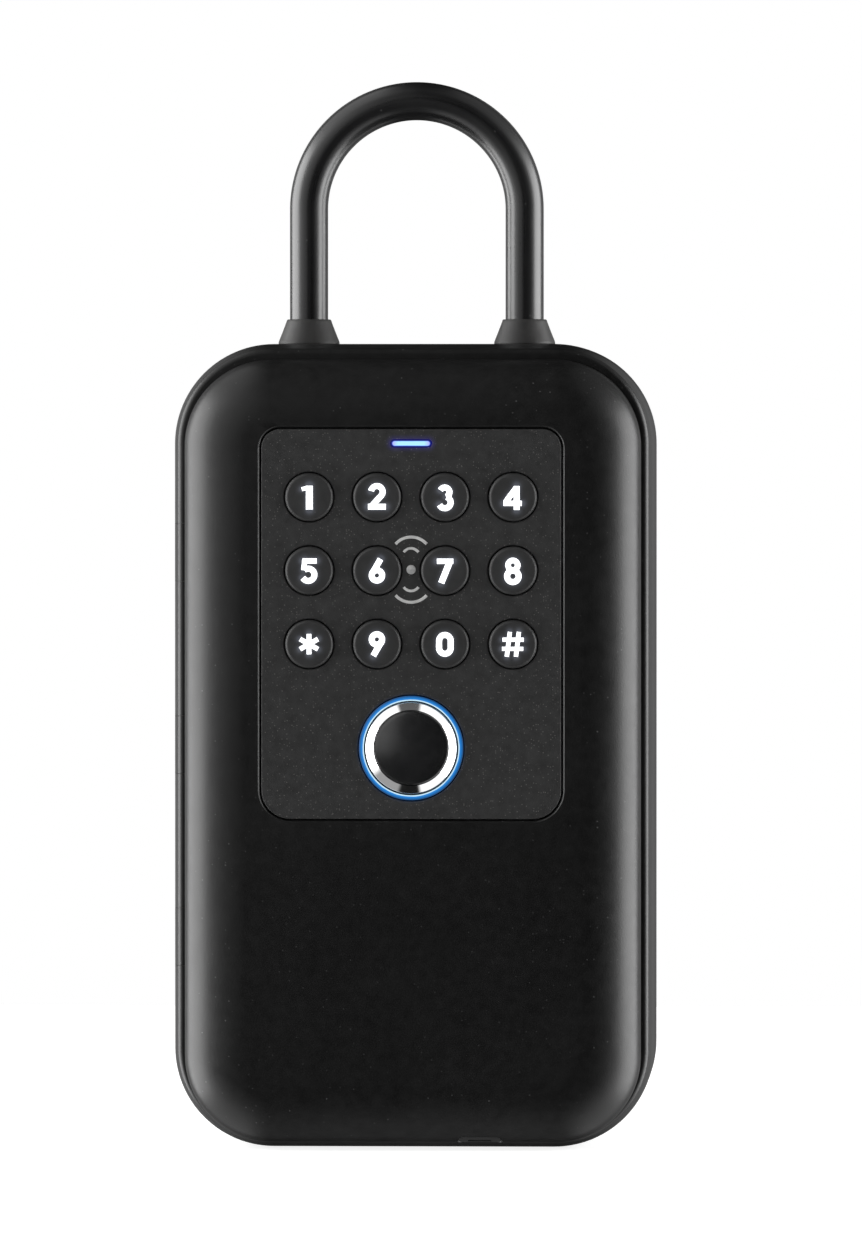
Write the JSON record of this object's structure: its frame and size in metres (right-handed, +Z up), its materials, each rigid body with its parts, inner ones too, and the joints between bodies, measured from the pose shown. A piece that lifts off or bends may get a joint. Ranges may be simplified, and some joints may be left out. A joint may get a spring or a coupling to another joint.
{
  "type": "smart key box",
  "caption": "Portable key box with a lit keypad and fingerprint sensor on a hinged door, a motor latch and a removable padlock-style shackle.",
  "frame": {"origin": "bottom centre of the bounding box, on the base of the case", "axes": "+Z up through the shackle, -Y out of the door, +X to the right when facing the door"},
  "size_m": [0.1, 0.0488, 0.2223],
  "materials": {
    "powder_coat": "satin black powder coat with a fine grain",
    "panel_plastic": "fine-textured black moulding with light flecks",
    "key_plastic": "smooth charcoal moulding with a lit white legend",
    "inner_plastic": "moulded, finely textured",
    "black_rubber": "matt moulded rubber",
    "silicone": "pale grey silicone",
    "steel": "bright zinc plate",
    "chrome_bezel": "polished chrome",
    "black_steel": "semi-gloss black coating on hardened steel",
    "dark_glass": "polished black sensor glass",
    "blue_lens": "translucent lens lit blue",
    "white_lens": "translucent lens lit bluish white",
    "circuit_board": "green solder mask",
    "cell_jacket": "plain printed foil jacket",
    "brass": "machined brass",
    "felt": "pressed felt"
  },
  "bodies": {
    "case": {"rear_case": "powder_coat", "door_seal": "black_rubber", "hinge_pin": "steel", "boot_left": "black_rubber", "boot_right": "black_rubber", "lock_cover": "inner_plastic", "lock_cover_screw_1": "steel", "lock_cover_screw_2": "steel", "liner_pad": "felt", "hole_plug_1": "black_rubber", "hole_plug_2": "black_rubber", "hole_plug_3": "black_rubber", "hole_plug_4": "black_rubber"},
    "door": {"front_cover": "powder_coat", "keypad_panel": "panel_plastic", "status_light": "white_lens", "sensor_light_ring": "blue_lens", "sensor_bezel": "chrome_bezel", "sensor_glass": "dark_glass", "sensor_module": "circuit_board", "key_mat": "silicone", "main_board": "circuit_board", "board_screw_1": "steel", "board_screw_2": "steel", "door_tray": "inner_plastic", "tray_screw_1": "steel", "tray_screw_2": "steel", "tray_screw_3": "steel", "tray_screw_4": "steel", "battery_1": "cell_jacket", "battery_2": "cell_jacket", "battery_3": "cell_jacket", "battery_4": "cell_jacket", "battery_contact_lower": "brass", "battery_contact_upper": "brass", "gear_motor": "steel", "motor_clamp": "steel", "motor_clamp_screw_1": "steel", "motor_clamp_screw_2": "steel", "buzzer": "inner_plastic", "usb_socket": "steel"},
    "latch_pinion": {"latch_pinion": "brass"},
    "latch_bolt": {"latch_bolt": "steel"},
    "battery_cover": {"battery_cover": "inner_plastic"},
    "usb_plug": {"usb_plug": "black_rubber"},
    "shackle": {"shackle": "black_steel"},
    "shackle_lock_slide": {"shackle_lock_slide": "steel"},
    "key_1": {"key_1": "key_plastic"},
    "key_2": {"key_2": "key_plastic"},
    "key_3": {"key_3": "key_plastic"},
    "key_4": {"key_4": "key_plastic"},
    "key_5": {"key_5": "key_plastic"},
    "key_6": {"key_6": "key_plastic"},
    "key_7": {"key_7": "key_plastic"},
    "key_8": {"key_8": "key_plastic"},
    "key_star": {"key_star": "key_plastic"},
    "key_9": {"key_9": "key_plastic"},
    "key_0": {"key_0": "key_plastic"},
    "key_hash": {"key_hash": "key_plastic"}
  },
  "joints": [
    {"name": "door_hinge", "type": "hinge", "parent": "case", "child": "door", "pos_m": [-0.0477, -0.0115, 0.084], "axis": [0, 0, -1], "range_deg": [0, 110]},
    {"name": "shackle_lift", "type": "slide", "parent": "case", "child": "shackle", "axis": [0, 0, 1], "range_m": [0, 0.0232]},
    {"name": "shackle_lock", "type": "slide", "parent": "case", "child": "shackle_lock_slide", "axis": [-1, 0, 0], "range_m": [0, 0.0045]},
    {"name": "latch_pinion_turn", "type": "hinge", "parent": "door", "child": "latch_pinion", "pos_m": [0.026, -0.0149, 0.0596], "axis": [0, 0, -1], "range_deg": [0, 64.5]},
    {"name": "latch_bolt_slide", "type": "slide", "parent": "door", "child": "latch_bolt", "axis": [1, 0, 0], "range_m": [0, 0.0045]},
    {"name": "battery_cover_slide", "type": "slide", "parent": "door", "child": "battery_cover", "axis": [0, 0, 1], "range_m": [0, 0.008]},
    {"name": "usb_plug_pull", "type": "slide", "parent": "door", "child": "usb_plug", "axis": [0, 0, -1], "range_m": [0, 0.006]},
    {"name": "key_1_press", "type": "slide", "parent": "door", "child": "key_1", "axis": [0, 1, 0], "range_m": [0, 0.0007], "stiffness_N_per_m": 400, "springref_m": -0.0005},
    {"name": "key_2_press", "type": "slide", "parent": "door", "child": "key_2", "axis": [0, 1, 0], "range_m": [0, 0.0007], "stiffness_N_per_m": 400, "springref_m": -0.0005},
    {"name": "key_3_press", "type": "slide", "parent": "door", "child": "key_3", "axis": [0, 1, 0], "range_m": [0, 0.0007], "stiffness_N_per_m": 400, "springref_m": -0.0005},
    {"name": "key_4_press", "type": "slide", "parent": "door", "child": "key_4", "axis": [0, 1, 0], "range_m": [0, 0.0007], "stiffness_N_per_m": 400, "springref_m": -0.0005},
    {"name": "key_5_press", "type": "slide", "parent": "door", "child": "key_5", "axis": [0, 1, 0], "range_m": [0, 0.0007], "stiffness_N_per_m": 400, "springref_m": -0.0005},
    {"name": "key_6_press", "type": "slide", "parent": "door", "child": "key_6", "axis": [0, 1, 0], "range_m": [0, 0.0007], "stiffness_N_per_m": 400, "springref_m": -0.0005},
    {"name": "key_7_press", "type": "slide", "parent": "door", "child": "key_7", "axis": [0, 1, 0], "range_m": [0, 0.0007], "stiffness_N_per_m": 400, "springref_m": -0.0005},
    {"name": "key_8_press", "type": "slide", "parent": "door", "child": "key_8", "axis": [0, 1, 0], "range_m": [0, 0.0007], "stiffness_N_per_m": 400, "springref_m": -0.0005},
    {"name": "key_star_press", "type": "slide", "parent": "door", "child": "key_star", "axis": [0, 1, 0], "range_m": [0, 0.0007], "stiffness_N_per_m": 400, "springref_m": -0.0005},
    {"name": "key_9_press", "type": "slide", "parent": "door", "child": "key_9", "axis": [0, 1, 0], "range_m": [0, 0.0007], "stiffness_N_per_m": 400, "springref_m": -0.0005},
    {"name": "key_0_press", "type": "slide", "parent": "door", "child": "key_0", "axis": [0, 1, 0], "range_m": [0, 0.0007], "stiffness_N_per_m": 400, "springref_m": -0.0005},
    {"name": "key_hash_press", "type": "slide", "parent": "door", "child": "key_hash", "axis": [0, 1, 0], "range_m": [0, 0.0007], "stiffness_N_per_m": 400, "springref_m": -0.0005}
  ],
  "couplings": [
    {"joint": "latch_pinion_turn", "follows": "latch_bolt_slide", "rad_per_m": 250}
  ]
}
